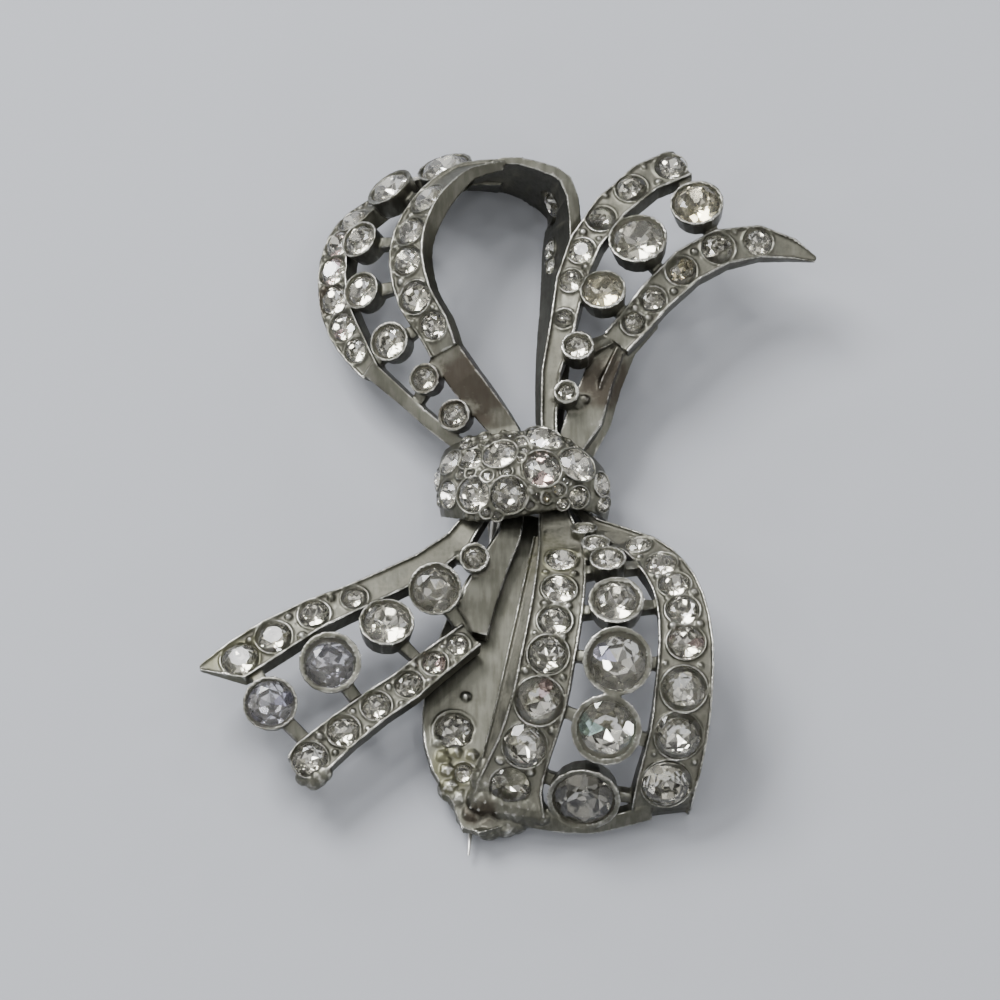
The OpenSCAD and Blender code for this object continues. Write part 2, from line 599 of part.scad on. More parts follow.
module knot_shell() {
    rounds = [-98:knot_step:98];
    bs = [-1, -0.6, -0.2, 0.2, 0.6, 1];
    nr = len([for (r = rounds) r]);
    nb = len(bs);
    inner = nr * nb;
    function at(i, j) = i * nb + j;
    polyhedron(
        points = concat(
            [for (r = rounds, b = bs) knot_point(r, b)],
            [for (r = rounds, b = bs) knot_point(r, b, true)]
        ),
        faces = concat(
            [for (i = [0:nr - 2], j = [0:nb - 2]) each [
                [at(i, j), at(i, j + 1), at(i + 1, j)],
                [at(i + 1, j), at(i, j + 1), at(i + 1, j + 1)]
            ]],
            [for (i = [0:nr - 2], j = [0:nb - 2]) each [
                [inner + at(i, j), inner + at(i + 1, j), inner + at(i, j + 1)],
                [inner + at(i + 1, j), inner + at(i + 1, j + 1), inner + at(i, j + 1)]
            ]],
            [for (i = [0:nr - 2]) each [
                [at(i, 0), at(i + 1, 0), inner + at(i, 0)],
                [at(i + 1, 0), inner + at(i + 1, 0), inner + at(i, 0)],
                [at(i, nb - 1), inner + at(i, nb - 1), at(i + 1, nb - 1)],
                [at(i + 1, nb - 1), inner + at(i, nb - 1), inner + at(i + 1, nb - 1)]
            ]],
            [for (j = [0:nb - 2]) each [
                [at(0, j), inner + at(0, j), at(0, j + 1)],
                [at(0, j + 1), inner + at(0, j), inner + at(0, j + 1)],
                [at(nr - 1, j), at(nr - 1, j + 1), inner + at(nr - 1, j)],
                [at(nr - 1, j + 1), inner + at(nr - 1, j + 1), inner + at(nr - 1, j)]
            ]]
        )
    );
}

function knot_seat(s) = knot_point(s[0], s[1]) - knot_face(s[0], s[1]) * 0.15;

module knot() {
    color(METAL) difference() {
        knot_shell();
        for (s = concat(KNOT_STONES, KNOT_PAVE)) set_on(knot_seat(s), knot_face(s[0], s[1])) seat(s[2], 1);
    }
}

module knot_pave() {
    color(GLASS) for (s = KNOT_PAVE) set_on(knot_seat(s), knot_face(s[0], s[1])) stone(s[2]);
}

// Plate under the knot, hinge barrel, stem and catch, all in one piece
plate_size = [12.6, 2.6, 0.9];
plate_z = 2.1;
barrel_size = [4.2, 1.1];
catch_size = [2.6, 2.2, 1.7];
point_length = 6;
module pin() {
    way = tip_at - hinge_at;
    length = norm(way);
    turn = atan2(way[1], way[0]);
    color(METAL) {
        translate([knot_x - plate_size[0] / 2, hinge_at[1] - plate_size[1] / 2, plate_z]) cube(plate_size);
        translate([hinge_at[0], hinge_at[1], stem_z + 0.3]) {
            rotate([0, 90, 0]) cylinder(h = barrel_size[0], r = barrel_size[1], center = true, $fn = 48);
            translate([-barrel_size[0] / 2, -barrel_size[1], 0])
                cube([barrel_size[0], 2 * barrel_size[1], plate_z + plate_size[2] / 2 - stem_z - 0.3]);
        }
        translate([hinge_at[0], hinge_at[1], stem_z]) rotate([0, 90, turn]) {
            cylinder(h = length - point_length, r = stem_r, $fn = 32);
            translate([0, 0, length - point_length]) cylinder(h = point_length, r1 = stem_r, r2 = 0.08, $fn = 32);
        }
        translate([hinge_at[0] + way[0] * (catch_y - hinge_at[1]) / way[1], catch_y, catch_size[2] / 2])
            cube(catch_size, center = true);
    }
}

module upper_loop_pave() {
    pave(UPPER_LOOP_RAILS, UPPER_LOOP_FIELDS, UPPER_LOOP_BAND_STONES, UPPER_LOOP_BAND, -1);
}

module upper_tail_pave() {
    pave(UPPER_TAIL_RAILS, UPPER_TAIL_FIELDS);
}

module lower_tail_pave() {
    pave(LOWER_TAIL_RAILS, LOWER_TAIL_FIELDS);
}

module lower_loop_pave() {
    pave(LOWER_LOOP_RAILS, LOWER_LOOP_FIELDS, LOWER_LOOP_BACK_STONES, LOWER_LOOP_BACK);
}

// Draws each row's stone if its own node or the whole part is asked for
module main_stones(name, rows) {
    for (i = [1:len(rows)])
        centred() main_stone(rows[i - 1]);
}

module centred() {
    translate([-centre_x, -centre_y, 0]) children();
}

centred() upper_loop();
centred() upper_tail();
centred() knot();
centred() lower_tail();
centred() lower_loop();
centred() pin();
centred() upper_loop_pave();
centred() upper_tail_pave();
centred() knot_pave();
centred() lower_tail_pave();
centred() lower_loop_pave();
main_stones("upper_loop_stone_", UPPER_LOOP_COLLETS);
main_stones("upper_tail_stone_", UPPER_TAIL_COLLETS);
main_stones("lower_tail_stone_", LOWER_TAIL_COLLETS);
main_stones("lower_loop_stone_", LOWER_LOOP_COLLETS);
for (i = [1:len(KNOT_STONES)])
    centred() color(GLASS)
        set_on(knot_seat(KNOT_STONES[i - 1]), knot_face(KNOT_STONES[i - 1][0], KNOT_STONES[i - 1][1]))
            stone(KNOT_STONES[i - 1][2]);
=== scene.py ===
# %% [markdown]
# # A ribbon bow brooch of grey cast metal and clear stones
# This lesson dresses a brooch whose solids were drawn elsewhere. They come in as a fixed frame: every
# casting, every stone and the pin, each at its real size and place, in metres. The frame stays as it
# is. New pieces are modelled over it, and each one says which node of the frame it stands for.

# %% Load the frame
import math
import random
from contextlib import contextmanager
import bpy
import numpy as np
from mathutils import Matrix, Vector
from mathutils.bvhtree import BVHTree


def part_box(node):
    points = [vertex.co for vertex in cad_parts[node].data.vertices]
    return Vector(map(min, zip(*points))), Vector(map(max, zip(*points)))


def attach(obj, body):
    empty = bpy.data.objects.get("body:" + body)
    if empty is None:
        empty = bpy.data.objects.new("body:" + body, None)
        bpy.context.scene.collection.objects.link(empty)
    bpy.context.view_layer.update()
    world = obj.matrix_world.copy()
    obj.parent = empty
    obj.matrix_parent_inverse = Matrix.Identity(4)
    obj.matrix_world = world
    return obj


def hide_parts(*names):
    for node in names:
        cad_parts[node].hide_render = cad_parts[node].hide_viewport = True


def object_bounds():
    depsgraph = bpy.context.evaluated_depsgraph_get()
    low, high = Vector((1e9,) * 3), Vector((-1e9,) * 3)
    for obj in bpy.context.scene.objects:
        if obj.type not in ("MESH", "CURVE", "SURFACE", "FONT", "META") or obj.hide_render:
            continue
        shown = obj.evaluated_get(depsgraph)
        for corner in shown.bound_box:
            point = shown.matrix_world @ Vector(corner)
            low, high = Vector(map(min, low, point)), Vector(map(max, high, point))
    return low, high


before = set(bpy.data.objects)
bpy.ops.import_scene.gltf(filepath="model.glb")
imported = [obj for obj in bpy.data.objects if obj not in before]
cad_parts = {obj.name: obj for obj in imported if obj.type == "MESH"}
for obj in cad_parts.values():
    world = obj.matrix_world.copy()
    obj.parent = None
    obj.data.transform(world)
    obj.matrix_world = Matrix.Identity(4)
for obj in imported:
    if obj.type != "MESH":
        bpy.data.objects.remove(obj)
cad_box = [list(corner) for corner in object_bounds()]
print("the frame's box in mm:", [[round(1000 * v, 2) for v in corner] for corner in cad_box])

# %% [markdown]
# ## The camera
# The brooch lies on a table and is seen from in front and well above. A real lens close to a small
# thing would swell its near parts, so this camera stands most of a metre away and looks through a long
# lens. The view's angle, its width in millimetres and the pixel at which the middle of the brooch's
# box shows are the three facts that place it.

# %% Place the camera
MM = 0.001
PICTURE = 1000                  # pixels across and down the picture
MM_PER_PIXEL = 0.09             # millimetres of the view in one pixel
MIDDLE_PIXEL = (511.5, 479.5)   # where the middle of the brooch's box shows
VIEW_TILT = math.radians(63)    # how steeply the camera looks down
CAMERA_AWAY = 0.8               # metres from the middle of the box
SENSOR = 36                     # millimetres

view_right = Vector((1, 0, 0))
view_up = Vector((0, math.sin(VIEW_TILT), math.cos(VIEW_TILT)))
view_back = Vector((0, -math.cos(VIEW_TILT), math.sin(VIEW_TILT)))
box_middle = (Vector(cad_box[0]) + Vector(cad_box[1])) / 2


def on_view(across, down):
    """The point that shows at a pixel, on the view's plane through the middle of the box."""
    right = (across - MIDDLE_PIXEL[0]) * MM_PER_PIXEL * MM
    up = (MIDDLE_PIXEL[1] - down) * MM_PER_PIXEL * MM
    return box_middle + view_right * right + view_up * up


def shown_at(point):
    """The pixel at which a point shows, as on_view the other way round."""
    away = point - camera.location
    on_plane = camera.location + away * (CAMERA_AWAY / -away.dot(view_back)) - box_middle
    return (MIDDLE_PIXEL[0] + on_plane.dot(view_right) / (MM_PER_PIXEL * MM),
            MIDDLE_PIXEL[1] - on_plane.dot(view_up) / (MM_PER_PIXEL * MM))


lens = bpy.data.cameras.new("long_lens")
lens.sensor_width = SENSOR
lens.lens = SENSOR * CAMERA_AWAY / (PICTURE * MM_PER_PIXEL * MM)
lens.clip_start, lens.clip_end = 0.05, 10
camera = bpy.data.objects.new("camera", lens)
bpy.context.scene.collection.objects.link(camera)
camera.location = on_view(PICTURE / 2, PICTURE / 2) + view_back * CAMERA_AWAY
camera.rotation_euler = (math.pi / 2 - VIEW_TILT, 0, 0)
bpy.context.scene.camera = camera
print("lens in mm:", round(lens.lens))


def skin_of(piece):
    """A piece's faces as a tree that a ray can be shot at."""
    mesh = piece.data
    faces = [tuple(face.vertices) for face in mesh.polygons]
    return BVHTree.FromPolygons([vertex.co for vertex in mesh.vertices], faces)


def seen_on(node, pixel):
    """The point of a CAD node that shows at a pixel, and the way its surface looks there."""
    way = (on_view(*pixel) - camera.location).normalized()
    point, normal, _, _ = skin_of(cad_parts[node]).ray_cast(camera.location, way)
    if point is None:
        raise ValueError(f"{node} doesn't show at {pixel}")
    return point, normal


# %% [markdown]
# ## Small helpers
# An operator acts on whatever is selected, so the first helper selects one piece and nothing else. The
# second goes in and out of edit mode around a few steps. The third adds a modifier, sets it and applies
# it at once, so that the finished piece is a plain mesh. The others join pieces, cut one with another,
# settle them at the origin, count their triangles and copy them from the frame.

# %% Helpers for pieces
DOUBLES_NEAR = 0.001 * MM
FLAT_WITHIN = math.radians(1)


def alone(piece):
    """Selects one piece and makes it the active one."""
    bpy.ops.object.select_all(action="DESELECT")
    piece.select_set(True)
    bpy.context.view_layer.objects.active = piece


@contextmanager
def editing(piece):
    """Edit mode on one piece with all of it selected."""
    alone(piece)
    bpy.ops.object.mode_set(mode="EDIT")
    bpy.ops.mesh.select_all(action="SELECT")
    yield
    bpy.ops.object.mode_set(mode="OBJECT")


def finish_with(piece, kind, **settings):
    """Adds one modifier to a piece and applies it."""
    alone(piece)
    modifier = piece.modifiers.new(kind.lower(), kind)
    for name, value in settings.items():
        setattr(modifier, name, value)
    bpy.ops.object.modifier_apply(modifier=modifier.name)


def joined(pieces, name):
    """Several pieces as one mesh."""
    alone(pieces[0])
    for piece in pieces:
        piece.select_set(True)
    if len(pieces) > 1:
        bpy.ops.object.join()
    pieces[0].name = name
    pieces[0].data.name = name
    return pieces[0]


def cut_away(piece, cutter):
    """A piece without what lies in a cutter. The cutter is used up."""
    finish_with(piece, "BOOLEAN", operation="DIFFERENCE", object=cutter, solver="EXACT", use_self=True)
    bpy.data.objects.remove(cutter)
    return piece


def settle(piece):
    """Puts a piece's place into its mesh, so that its object stands at the origin."""
    alone(piece)
    bpy.ops.object.transform_apply(location=True, rotation=True, scale=True)
    return piece


def triangles(piece):
    """How many triangles the faces of a piece come to."""
    return sum(len(face.vertices) - 2 for face in piece.data.polygons)


def merged_copy(node):
    """A copy of a CAD node: its doubles merged, and triangles that lie flat joined into whole faces."""
    copy = bpy.data.objects.new(node + "_copy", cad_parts[node].data.copy())
    bpy.context.scene.collection.objects.link(copy)
    copy.data.materials.clear()
    with editing(copy):
        bpy.ops.mesh.remove_doubles(threshold=DOUBLES_NEAR)
        bpy.ops.mesh.dissolve_limited(angle_limit=FLAT_WITHIN)
    return copy


# %% [markdown]
# ## Where the stones sit
# Each stone of the frame is a plain one: a flat table with eight sides, eight crown facets and a
# pointed back. That is enough to read its seat from. The eight-sided face is the table, its normal is
# the way that the stone looks, and the vertices one edge further out are the girdle.

# %% Read each stone's seat
STONE_SIDES = 8


def seats_of(node):
    """The middle of the girdle, the way the table looks and the radius of each stone in a node."""
    copy = merged_copy(node)
    mesh = copy.data
    seats = []
    for table in mesh.polygons:
        if len(table.vertices) != STONE_SIDES:
            continue
        own = set(table.vertices)
        girdle = {v for edge in mesh.edges for v in edge.vertices if own & set(edge.vertices)} - own
        middle = sum((mesh.vertices[v].co for v in girdle), Vector()) / len(girdle)
        radius = max((mesh.vertices[v].co - middle).length for v in girdle)
        seats.append((middle, table.normal.copy(), radius))
    bpy.data.objects.remove(copy)
    return seats


def facing(looks):
    """The rotation that turns +Z to the way a stone looks."""
    return looks.to_track_quat("Z", "Y").to_matrix().to_4x4()


FIELDS = ("upper_loop", "upper_tail", "knot", "lower_tail", "lower_loop")
main_nodes = sorted(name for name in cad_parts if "_stone_" in name)
main_seats = {name: seats_of(name)[0] for name in main_nodes}
pave_seats = {name: seats_of(name + "_pave") for name in FIELDS}
print("main stones:", len(main_seats), "small ones:", {k: len(v) for k, v in pave_seats.items()})

# %% [markdown]
# The setter chose stones that fill the rails, so each stone is a little wider than the frame's, as far
# as its neighbours leave room.

# %% Let the stones fill their rails
WIDER = {"upper_loop": 1.12, "upper_tail": 1.05, "knot": 1.25, "lower_tail": 1.05, "lower_loop": 1.13}
WIDER_COLLET = 1.09
TOUCH = 0.97              # share of the way to a neighbour that two girdles may take up


def main_of(field):
    """The main seats of one field, by node."""
    return {node: seat for node, seat in main_seats.items() if node.startswith(field + "_stone_")}


def widened(seat, others, most):
    """A seat that is wider by a factor, or by what its neighbours leave."""
    middle, looks, radius = seat
    others = [other for other in others if other is not seat]
    room = min((middle - other[0]).length / (radius + other[2]) for other in others)
    return middle, looks, radius * max(1, min(most, room * TOUCH))


for name in FIELDS:
    own = main_of(name)
    near = list(own.values()) + pave_seats[name]
    most = WIDER["knot"] if name == "knot" else WIDER_COLLET
    main_seats.update({node: widened(seat, near, most) for node, seat in own.items()})
    pave_seats[name] = [widened(seat, near, WIDER[name]) for seat in pave_seats[name]]

# %% [markdown]
# The knot was set with crumbs of stones wherever one went in, and those have no solid in the frame.
# Each of the larger crumbs is given by the pixel at which it shows. The rest are scattered at random,
# where there is room and the skin goes on under them. All that varies in this lesson is drawn from one
# stream of numbers with a fixed seed, so each run gives the same brooch.

# %% Scatter crumbs on the knot
SEED = 7
LARGE_CRUMBS = [          # a pixel, and a radius in millimetres
    ((447, 481), 0.62), ((455, 506), 0.55), ((468, 514), 0.5), ((492, 484), 0.55), ((484, 477), 0.45),
    ((524, 505), 0.6), ((521, 458), 0.5), ((525, 482), 0.5), ((566, 500), 0.7), ((584, 500), 0.75),
    ((603, 504), 0.7), ((606, 482), 0.5), ((563, 462), 0.5), ((488, 447), 0.5), ((440, 500), 0.5),
]
LARGE_CRUMB_ROOM = 0.35 * MM
CRUMB_TRIES = 500
CRUMB_ROOM = 0.40 * MM
CRUMB_MOST = 0.60 * MM
CRUMB_SHARE = (0.7, 1.0)  # a crumb's radius, as a share of the most
CRUMB_LIFT = 0.05         # millimetres that a girdle stands over the skin
CRUMBS_END = 602          # the knot's smooth right end starts at this pixel
RAYS_FROM = 20            # millimetres over a node, where the rays that scatter things start
PROBES = 6                # places round a crumb's rim at which the skin is felt for
PROBE_FROM = 1.0 * MM
PROBE_REACH = 1.5 * MM

hand = random.Random(SEED)


def scattered(node, tries):
    """Points at random on the outer side of a node, and the way its skin looks at each."""
    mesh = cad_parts[node].data
    centre = sum((vertex.co for vertex in mesh.vertices), Vector()) / len(mesh.vertices)
    low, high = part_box(node)
    skin = skin_of(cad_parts[node])
    for _ in range(tries):
        across, along = hand.uniform(low.x, high.x), hand.uniform(low.y, high.y)
        # A ray goes straight down in the middle of the node, and at 45 degrees at its sides
        lean = (across - centre.x) / (high.x - low.x) * 2
        start = Vector((across + lean * RAYS_FROM * MM, along, high.z + RAYS_FROM * MM))
        point, normal, _, _ = skin.ray_cast(start, Vector((-lean, 0, -1)).normalized())
        if point is not None and normal.dot(point - centre) > 0:
            yield point, normal


def bears(skin, point, looks, radius):
    """Whether the skin goes on under a stone of this radius, on all sides."""
    sideways = looks.orthogonal().normalized()
    for probe in range(PROBES):
        out = Matrix.Rotation(probe * math.tau / PROBES, 3, looks) @ sideways
        hit, _, _, far = skin.ray_cast(point + out * radius + looks * PROBE_FROM, -looks)
        if hit is None or far > PROBE_REACH:
            return False
    return True


def room_at(point, seats):
    """How far a point lies from the nearest girdle."""
    return min((point - middle).length - radius for middle, looks, radius in seats)


knot_skin = skin_of(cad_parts["knot"])
knot_seats = list(main_of("knot").values()) + pave_seats["knot"]
crumb_seats = []
for pixel, radius in LARGE_CRUMBS:
    point, looks = seen_on("knot", pixel)
    room = room_at(point, knot_seats + crumb_seats)
    if room > LARGE_CRUMB_ROOM:
        crumb_seats.append((point + looks * CRUMB_LIFT * MM, looks, min(radius * MM, room * TOUCH)))
for point, looks in scattered("knot", CRUMB_TRIES):
    room = room_at(point, knot_seats + crumb_seats)
    radius = min(CRUMB_MOST * hand.uniform(*CRUMB_SHARE), room * TOUCH)
    fits = room > CRUMB_ROOM and shown_at(point)[0] < CRUMBS_END
    if fits and bears(knot_skin, point, looks, radius):
        crumb_seats.append((point + looks * CRUMB_LIFT * MM, looks, radius))
print("crumbs:", len(crumb_seats))

# %% [markdown]
# ## Cutting a stone
# A lapidary grinds flat facets onto a round blank, and so does this cell. The blank is a cylinder, and
# each facet is one bisect that cuts off what lies past a plane and closes the cut. A facet has a slope,
# a direction round the stone and a point that it passes through, so a ring of facets is a loop. The
# crown is eight kites, sixteen small facets at the girdle and eight stars round the table. The back is
# a fan of narrow facets of two slopes by turns, so that one is bright where its neighbour is dark, with
# a ring of small ones at the girdle.

# %% Cut the pattern stone
GIRDLE_HALF = 0.03        # half the girdle's height, in radii of the stone
TABLE_SHARE = 0.56        # the table's radius, in radii of the stone
KITE_SLOPE = 36           # this slope and the others are in degrees
SMALL_SLOPE = 42
STAR_SLOPE = 23
STAR_BITE = 0.001
BACK_SLOPES = (30, 33)
BACK_RIM_SLOPE = 36
BACK_FAN = 7
BLANK_SIDES = 32
GRIND_NEAR = 1e-5


def grind(point, normal):
    """Cuts off all that lies past a plane, and closes the cut with one flat facet."""
    bpy.ops.mesh.select_all(action="SELECT")
    bpy.ops.mesh.bisect(plane_co=point, plane_no=normal, use_fill=True, clear_outer=True,
                        threshold=GRIND_NEAR)


def grind_ring(count, first, slope, radius, height, side=1):
    """A ring of facets through points at one radius and height. side is 1 on the crown and -1 below."""
    lean = math.radians(slope)
    for i in range(count):
        turn = math.radians(first + 360 * i / count)
        out = Vector((math.cos(turn), math.sin(turn), 0))
        normal = out * math.sin(lean) + Vector((0, 0, side * math.cos(lean)))
        grind(out * radius + Vector((0, 0, height)), normal)


def cut_stone():
    """A brilliant of radius 1, its girdle round the origin and its table up."""
    bpy.ops.object.select_all(action="DESELECT")
    bpy.ops.mesh.primitive_cylinder_add(vertices=BLANK_SIDES, radius=1, depth=2)
    stone = bpy.context.object
    table_height = GIRDLE_HALF + (1 - TABLE_SHARE) * math.tan(math.radians(KITE_SLOPE))
    star_radius = TABLE_SHARE * math.cos(math.pi / STONE_SIDES) - STAR_BITE
    with editing(stone):
        grind((0, 0, table_height), (0, 0, 1))
        grind_ring(STONE_SIDES, 0, KITE_SLOPE, 1, GIRDLE_HALF)
        grind_ring(2 * STONE_SIDES, 90 / STONE_SIDES, SMALL_SLOPE, 1, GIRDLE_HALF)
        grind_ring(STONE_SIDES, 180 / STONE_SIDES, STAR_SLOPE, star_radius, table_height)
        for row, slope in enumerate(BACK_SLOPES):
            grind_ring(BACK_FAN, 180 * row / BACK_FAN, slope, 1, -GIRDLE_HALF, side=-1)
        grind_ring(2 * BACK_FAN, 90 / BACK_FAN, BACK_RIM_SLOPE, 1, -GIRDLE_HALF, side=-1)
    return stone


pattern_stone = cut_stone()
print("facets of a stone:", len(pattern_stone.data.polygons), "triangles:", triangles(pattern_stone))

# %% [markdown]
# ## The castings
# The loops, the tails and the knot are sand or lost-wax castings. Nothing on such a piece is truly
# sharp: edges are rounded, joints have melted together, and the skin is slightly uneven. The frame's
# castings have the right forms but hard edges and short straight stretches. So a copy is creased at its
# sharp edges and subdivided, which turns the straight stretches into curves, then rebuilt by a voxel
# remesh, which melts all that touches into one skin, then smoothed, and thinned where it is flat.

# %% Melt a casting
SHARP = math.radians(50)
VOXEL = 0.10 * MM
SMOOTH_STEPS = 5
SKIN_DEPTH = 0.03 * MM
SKIN_GRAIN = 1.6 * MM
MOST_TRIANGLES = {
    "upper_loop": 180000,
    "upper_tail": 110000,
    "knot": 70000,
    "lower_tail": 110000,
    "lower_loop": 190000,
}

uneven = bpy.data.textures.new("uneven_skin", "CLOUDS")
uneven.noise_scale = SKIN_GRAIN
uneven.noise_depth = 2


def curved(piece):
    """A casting whose straight stretches are curves and whose sharp edges are kept."""
    with editing(piece):
        bpy.ops.mesh.select_all(action="DESELECT")
        bpy.ops.mesh.edges_select_sharp(sharpness=SHARP)
        bpy.ops.transform.edge_crease(value=1)
    finish_with(piece, "SUBSURF", levels=2, render_levels=2)
    return piece


def melted(piece, most):
    """One cast skin round everything in a piece."""
    finish_with(piece, "REMESH", mode="VOXEL", voxel_size=VOXEL)
    finish_with(piece, "SMOOTH", factor=0.5, iterations=SMOOTH_STEPS)
    finish_with(piece, "DISPLACE", texture=uneven, texture_coords="GLOBAL", strength=SKIN_DEPTH,
                mid_level=0.5)
    finish_with(piece, "DECIMATE", ratio=min(1, most / triangles(piece)))
    alone(piece)
    bpy.ops.object.shade_smooth()
    return piece


# %% [markdown]
# ## Seats
# A setter opens each seat with a burr, a small cutter whose end is a cone. The same is done to the
# casting before it is melted: one burr stands in each seat, a little wider and deeper than the stone,
# and all of them are taken away at once by a boolean. A burr's shaft flares upwards, which leaves a
# sloped wall round the stone and a thin rim, as a collet that was rubbed over its stone has.

# %% Open the seats
BURR_ROOM = 1.04          # how much wider than its stone a burr is
BURR_DEPTH = 0.8          # how deep its cone is, in radii of the burr
BURR_UP = 0.8 * MM        # how long its shaft is
BURR_FLARE = 0.35         # how far the shaft leans out on the way up
BURR_SIDES = 24
LOOKS_UP = 0.9            # the cone's flat top is the face whose normal rises more than this


def burr(seat):
    """A cutter in one seat: a cone below the girdle, and a shaft above it that widens upwards."""
    middle, looks, radius = seat
    wide = radius * BURR_ROOM
    deep = wide * BURR_DEPTH
    bpy.ops.object.select_all(action="DESELECT")
    bpy.ops.mesh.primitive_cone_add(vertices=BURR_SIDES, radius1=0, radius2=wide, depth=deep)
    cutter = bpy.context.object
    cutter.data.transform(Matrix.Translation((0, 0, -deep / 2)))
    with editing(cutter):
        bpy.ops.mesh.select_all(action="DESELECT")
        bpy.ops.object.mode_set(mode="OBJECT")
        for face in cutter.data.polygons:
            face.select = face.normal.z > LOOKS_UP
        bpy.ops.object.mode_set(mode="EDIT")
        bpy.ops.mesh.extrude_region_move(TRANSFORM_OT_translate={"value": (0, 0, BURR_UP)})
        wider = 1 + BURR_FLARE * BURR_UP / wide
        bpy.ops.transform.resize(value=(wider, wider, 1))
    cutter.data.transform(Matrix.Translation(middle) @ facing(looks))
    return cutter


def opened(piece, seats):
    """A piece with each of its seats cut."""
    return cut_away(piece, joined([burr(seat) for seat in seats], "burrs"))


# %% [markdown]
# ## Metal pushed round the stones
# A stone is held by the metal round it. In a rail that is a soft ring, pushed up from the floor and
# over the girdle, and where two neighbours leave a gap it is filled by grains, small beads of metal. A
# collet's rim is a thinner ring. Between the knot's stones lie low cobbles, which are sunken grains.
# The rings are tori and the grains are balls, added before the melting, so that they grow out of the
# metal as real ones do. No two are alike, so sizes and places vary.

# %% Push metal round the stones
RAIL_RING = (0.10 * MM, 0.14 * MM)     # a ring's thickness, from the least to the most
COLLET_RING = (0.10 * MM, 0.13 * MM)
RING_SEGMENTS = (28, 10)
RING_OUT = 1.1            # how far out of the girdle a ring lies, in its own thickness
RING_UP = 0.35            # and how far over it
RING_TILT = 4             # degrees, at most
GRAIN = (0.28 * MM, 0.48 * MM)         # a grain's radius
GRAIN_SPREAD = (0.62, 1.0)             # how far from the row's middle, in the neighbours' mean radius
GRAIN_SHIFT = 0.04        # how far along the gap, as a share of the way between the neighbours
GRAIN_SHARE = 0.75        # how often a place for a grain is filled
NEIGHBOUR_GAP = 1.7 * MM  # girdles further apart than this are no neighbours
COBBLE = (0.34 * MM, 0.58 * MM)
COBBLE_TRIES = 500
COBBLE_OFF = 0.9          # how far it keeps from a girdle, in radii of the least cobble
COBBLE_APART = 0.80 * MM
COBBLE_SUNK = 0.22 * MM


def ball(middle, radius):
    """A ball of metal, still in the rough."""
    bpy.ops.object.select_all(action="DESELECT")
    bpy.ops.mesh.primitive_ico_sphere_add(subdivisions=2, radius=radius, location=middle)
    return settle(bpy.context.object)


def ring(seat, thick):
    """A ring of metal round a stone, just over its girdle and a little uneven."""
    middle, looks, radius = seat
    bpy.ops.object.select_all(action="DESELECT")
    bpy.ops.mesh.primitive_torus_add(major_segments=RING_SEGMENTS[0], minor_segments=RING_SEGMENTS[1],
                                     major_radius=radius + thick * RING_OUT, minor_radius=thick)
    made = bpy.context.object
    tilt = Matrix.Rotation(math.radians(hand.uniform(-RING_TILT, RING_TILT)), 4, "X")
    turn = Matrix.Rotation(hand.uniform(0, math.tau), 4, "Z")
    raised = Matrix.Translation(middle + looks * thick * RING_UP)
    made.data.transform(raised @ facing(looks) @ turn @ tilt)
    return made


def grains_between(seats):
    """Up to two grains in the gap between each two neighbours of a row."""
    grains = []
    for i, (middle, looks, radius) in enumerate(seats):
        for other, other_looks, other_radius in seats[i + 1:]:
            way = other - middle
            if way.length > radius + other_radius + NEIGHBOUR_GAP:
                continue
            across = way.cross(looks + other_looks).normalized()
            share = radius / (radius + other_radius) + hand.uniform(-GRAIN_SHIFT, GRAIN_SHIFT)
            between = middle + way * share
            for side in (-1, 1):
                if hand.random() > GRAIN_SHARE:
                    continue
                reach = hand.uniform(*GRAIN_SPREAD) * (radius + other_radius) / 2
                grains.append(ball(between + across * side * reach, hand.uniform(*GRAIN)))
    return grains


def cobbles(node, seats):
    """Low grains all over the outer side of a node, wherever there is room between its stones."""
    placed = []
    for point, normal in scattered(node, COBBLE_TRIES):
        if any((point - seat[0]).length < seat[2] + COBBLE[0] * COBBLE_OFF for seat in seats):
            continue
        if any((point - other).length < COBBLE_APART for other, _ in placed):
            continue
        placed.append((point, normal))
    return [ball(point - normal * COBBLE_SUNK, hand.uniform(*COBBLE)) for point, normal in placed]


# %% [markdown]
# The beads that stand by themselves, the rolled hem at the lower loop's foot and the round end of the
# lower tail's rail are balls too. A row of balls that overlap melts into one thick roll. Each is given
# by the node that carries it, the pixel at which it shows, its radius and how deep it is sunk.

# %% Lay the beads and the hem
# What lies on each node: a pixel, a radius and a depth, the last two in millimetres
LUMPS = {
    "lower_loop": [
        ((466, 697), 0.50, 0.10), ((501, 761), 0.42, 0.10), ((437, 742), 1.00, 0.75),
        ((443, 756), 1.20, 0.90), ((447, 770), 1.10, 0.75), ((456, 752), 1.10, 0.85),
        ((472, 755), 1.10, 0.85), ((450, 786), 1.20, 0.85), ((461, 797), 1.20, 0.85),
        ((480, 768), 1.20, 0.85), ((482, 784), 1.30, 0.95), ((472, 797), 1.35, 0.80),
        ((482, 801), 1.60, 1.00), ((490, 803), 1.40, 0.90), ((499, 805), 1.70, 1.10),
        ((508, 807), 1.40, 0.85), ((516, 808), 1.60, 1.10), ((525, 810), 1.30, 0.85),
        ((534, 812), 1.20, 0.85), ((541, 816), 1.00, 0.75), ((472, 812), 1.50, 1.00),
        ((480, 817), 1.80, 1.20), ((489, 820), 1.70, 1.10), ((498, 821), 1.90, 1.30),
        ((508, 822), 1.60, 1.10), ((518, 820), 1.60, 1.10), ((529, 820), 1.30, 0.90),
    ],
    "lower_tail": [
        ((324, 771), 0.80, 0.75), ((318, 776), 0.88, 0.75), ((312, 775), 0.85, 0.80),
        ((306, 771), 0.85, 0.80),
    ],
    "upper_tail": [((585, 399), 0.50, 0.10)],
}


